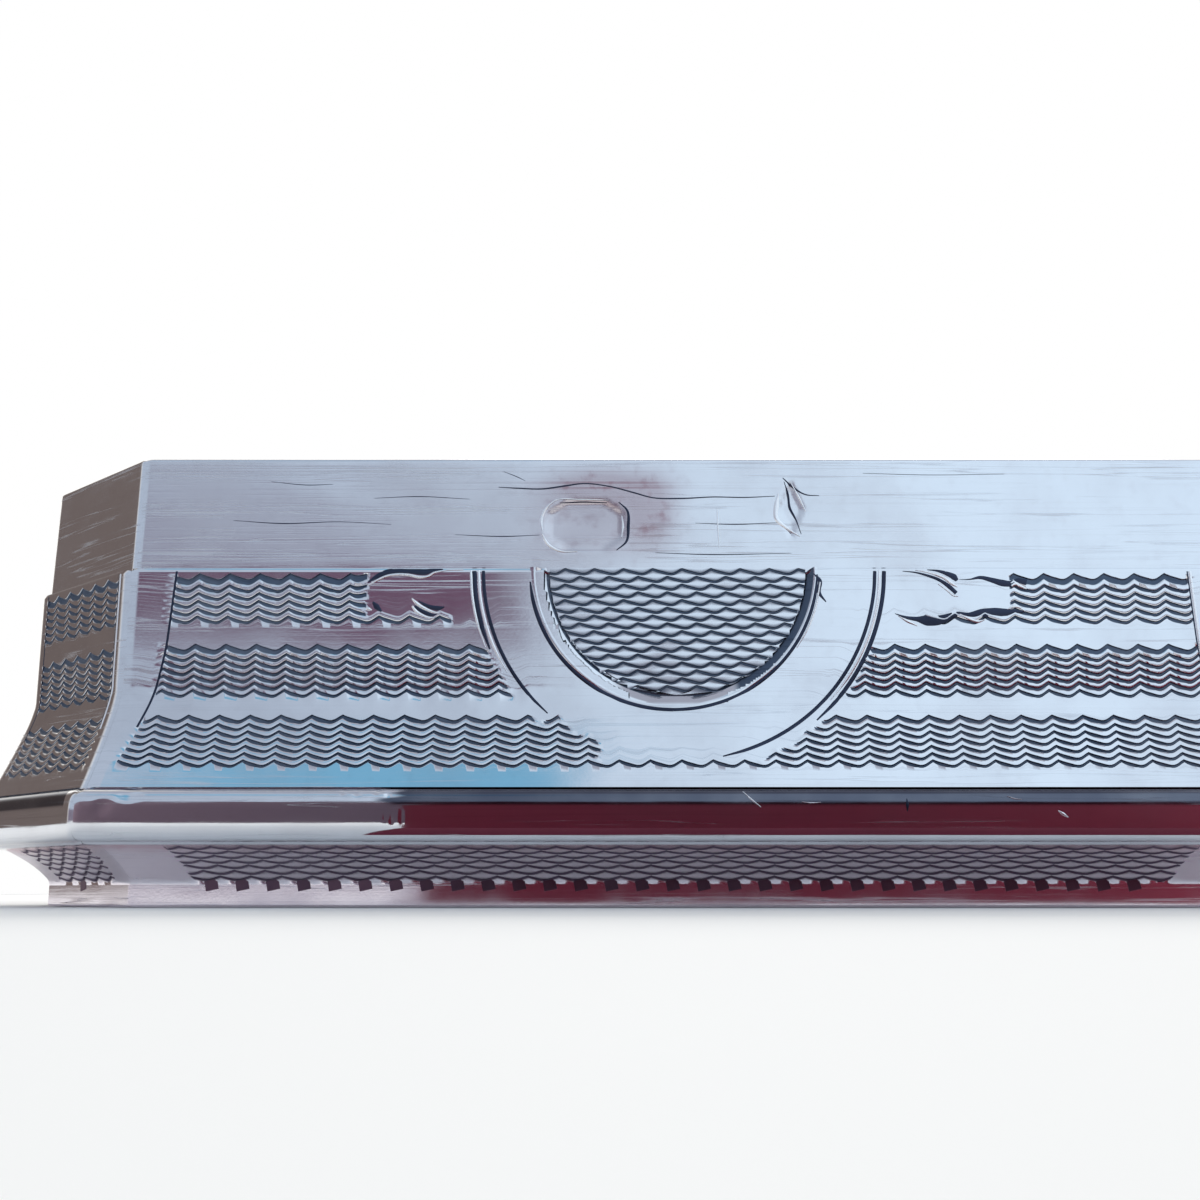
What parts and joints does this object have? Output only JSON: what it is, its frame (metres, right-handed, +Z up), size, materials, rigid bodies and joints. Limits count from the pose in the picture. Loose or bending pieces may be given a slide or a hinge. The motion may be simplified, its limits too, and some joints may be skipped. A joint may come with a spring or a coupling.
{
  "type": "silver pocket box",
  "caption": "Small metal pocket box with canted corners and waisted engine-turned sides; a bezel-lined base and a matching lid on a knuckle hinge that folds back flat.",
  "frame": {"origin": "middle of the base's underside, on the face that it stands on", "axes": "+X along the front to the right, +Y from the front to the hinge, +Z up; the lid lies open behind the base"},
  "size_m": [0.067, 0.0915, 0.02],
  "materials": {
    "panel": "engine-turned silver, lightly tarnished in the cuts",
    "wire": "plain polished silver with small knocks",
    "flank": "engine-turned silver, dark in the cuts",
    "bezel": "plain silver, rubbed and scratched along its length",
    "hinge": "plain worn silver",
    "pin": "plain drawn wire"
  },
  "bodies": {
    "base": {"base_bottom": "panel", "base_wire": "wire", "base_wall": "flank", "bezel": "bezel", "base_hinge_bearer": "hinge", "base_knuckle_left": "hinge", "base_knuckle_middle": "hinge", "base_knuckle_right": "hinge", "hinge_pin": "pin"},
    "lid": {"lid_top": "panel", "lid_wire": "wire", "lid_wall": "flank", "lid_hinge_bearer": "hinge", "lid_knuckle_left": "hinge", "lid_knuckle_right": "hinge"}
  },
  "joints": [
    {"name": "lid_hinge", "type": "hinge", "parent": "base", "child": "lid", "pos_m": [0, 0.02305, 0.015], "axis": [1, 0, 0], "range_deg": [0, 180]}
  ]
}
